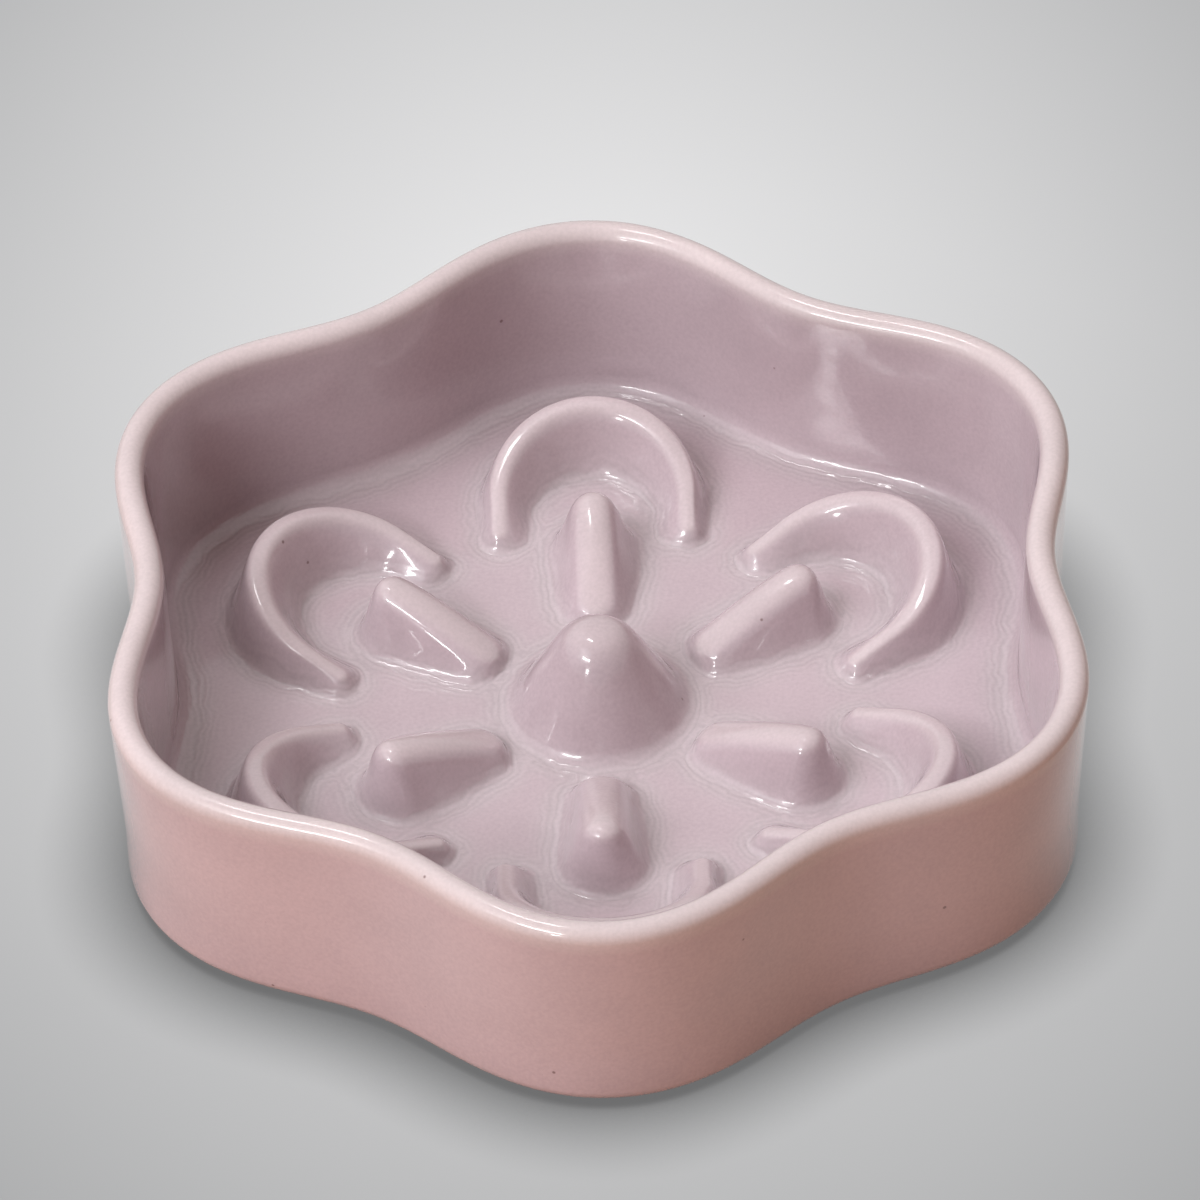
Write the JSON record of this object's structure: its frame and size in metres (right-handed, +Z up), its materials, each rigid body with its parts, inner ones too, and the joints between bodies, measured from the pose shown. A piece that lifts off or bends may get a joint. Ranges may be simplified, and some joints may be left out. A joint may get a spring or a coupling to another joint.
{
  "type": "slow feeder bowl",
  "caption": "Glazed ceramic slow feeder bowl with a lobed wall, a centre cone, radial ridges and horseshoe ribs rising from its flat floor.",
  "frame": {"origin": "centre of the bowl on the surface it stands on, under the centre cone", "axes": "+Z up out of the bowl's mouth, +Y towards one lobe, +X towards one notch of the outline"},
  "size_m": [0.1642, 0.1798, 0.0426],
  "materials": {
    "glaze": "gloss mauve-pink glaze, lighter where it thins on the lip and the crests",
    "bare_clay": "matt bare fired clay"
  },
  "bodies": {
    "root": {"bowl_wall": "glaze", "bowl_floor": "glaze", "foot_ring": "bare_clay", "centre_cone": "glaze", "ridge_1": "glaze", "ridge_2": "glaze", "ridge_3": "glaze", "ridge_4": "glaze", "ridge_5": "glaze", "ridge_6": "glaze", "horseshoe_rib_1": "glaze", "horseshoe_rib_2": "glaze", "horseshoe_rib_3": "glaze", "horseshoe_rib_4": "glaze", "horseshoe_rib_5": "glaze", "horseshoe_rib_6": "glaze"}
  },
  "joints": []
}
